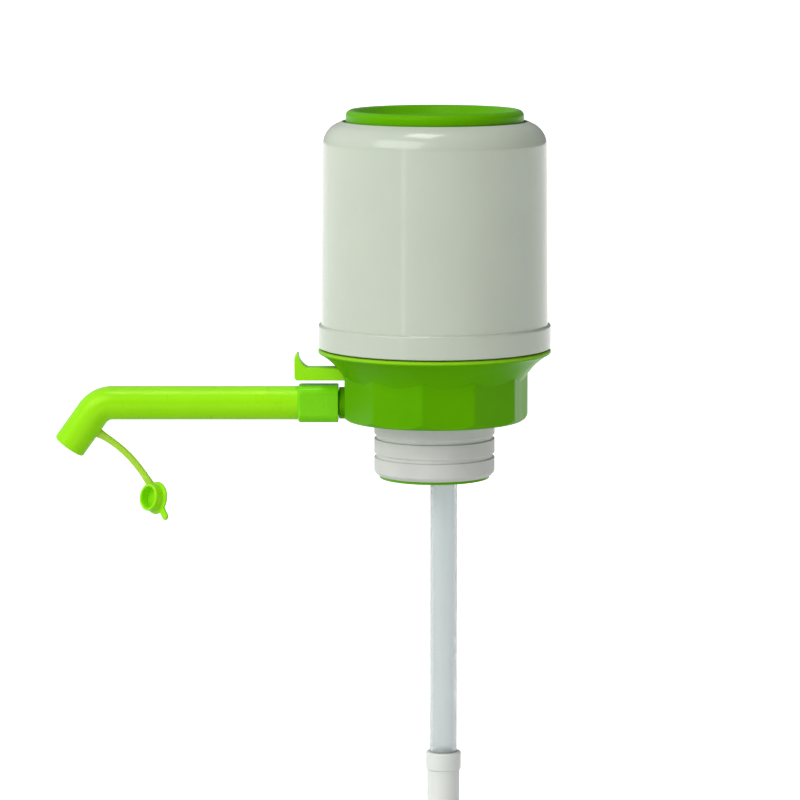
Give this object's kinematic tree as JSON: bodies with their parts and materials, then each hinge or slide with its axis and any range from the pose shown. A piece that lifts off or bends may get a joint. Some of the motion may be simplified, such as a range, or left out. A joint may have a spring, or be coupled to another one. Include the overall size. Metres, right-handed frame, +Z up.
{
  "type": "water jug hand pump",
  "caption": "Hand pump that plugs into a water jug's neck: white cover, green press button, swivelling spout with dust plug, release lever, bellows and dip tube.",
  "frame": {"origin": "on the pump's axis, in the plane of the grip ring's underside, where the pump meets the jug's mouth", "axes": "+Z up along the pump's axis, out of the jug; the spout points along -X; +Y is across, and the spout, the lever and the strap lie in the XZ plane"},
  "size_m": [0.1847, 0.0866, 0.5448],
  "materials": {
    "green_plastic": "glossy lime green moulded plastic",
    "white_plastic": "glossy white moulded plastic",
    "bellows_rubber": "soft pale grey rubber",
    "seal_rubber": "pale grey sealing rubber",
    "valve_silicone": "thin orange silicone",
    "steel": "bright stainless steel",
    "clear_tube": "translucent food grade tube",
    "tube_fitting": "milky white moulded plastic"
  },
  "bodies": {
    "housing": {"base": "green_plastic", "cover": "white_plastic", "valve_plate": "white_plastic", "bellows_clamp_ring": "white_plastic", "intake_valve_cage": "white_plastic", "delivery_valve_cage": "white_plastic", "bellows": "bellows_rubber", "neck_sleeve": "seal_rubber", "dip_tube_seal": "seal_rubber", "duct_seal": "seal_rubber", "spout_seal": "seal_rubber", "clamp_screws": "steel", "return_spring": "steel", "lever_pin": "steel", "release_valve_spring": "steel", "dip_tube_upper": "clear_tube", "dip_tube_middle": "clear_tube", "dip_tube_lower": "clear_tube", "dip_coupling_upper": "tube_fitting", "dip_coupling_lower": "tube_fitting", "intake_foot": "tube_fitting"},
    "button": {"press_button": "green_plastic", "spring_seat": "white_plastic", "button_screws": "steel"},
    "lever": {"release_lever": "green_plastic"},
    "relief_stem": {"release_valve_stem": "white_plastic", "release_valve_seal": "seal_rubber"},
    "spout": {"spout": "green_plastic", "plug_strap_upper": "green_plastic"},
    "plug": {"dust_plug": "green_plastic", "plug_strap_lower": "green_plastic"},
    "intake_disc": {"intake_valve_disc": "valve_silicone"},
    "delivery_disc": {"delivery_valve_disc": "valve_silicone"}
  },
  "joints": [
    {"name": "button_press", "type": "slide", "parent": "housing", "child": "button", "axis": [0, 0, 1], "range_m": [-0.03, 0], "stiffness_N_per_m": 300, "springref_m": 0.01, "deforming": ["bellows", "return_spring"]},
    {"name": "lever_pivot", "type": "hinge", "parent": "housing", "child": "lever", "pos_m": [-0.029, 0, 0.017], "axis": [0, -1, 0], "range_deg": [0, 4], "stiffness_Nm_per_rad": 0.05, "springref_deg": -7.45},
    {"name": "stem_lift", "type": "slide", "parent": "housing", "child": "relief_stem", "axis": [0, 0, 1], "range_m": [0, 0.00095], "deforming": ["release_valve_spring"]},
    {"name": "spout_swivel", "type": "hinge", "parent": "housing", "child": "spout", "pos_m": [-0.042, 0, 0.006], "axis": [-1, 0, 0], "range_deg": [-90, 90]},
    {"name": "plug_swing", "type": "hinge", "parent": "spout", "child": "plug", "pos_m": [-0.1149, 0, -0.0131], "axis": [0, 1, 0], "range_deg": [-40, 45]},
    {"name": "intake_lift", "type": "slide", "parent": "housing", "child": "intake_disc", "axis": [0, 0, 1], "range_m": [0, 0.0013]},
    {"name": "delivery_lift", "type": "slide", "parent": "housing", "child": "delivery_disc", "axis": [0, 0, 1], "range_m": [0, 0.00135]}
  ],
  "couplings": [
    {"joint": "stem_lift", "follows": "lever_pivot", "m_per_rad": 0.013}
  ]
}
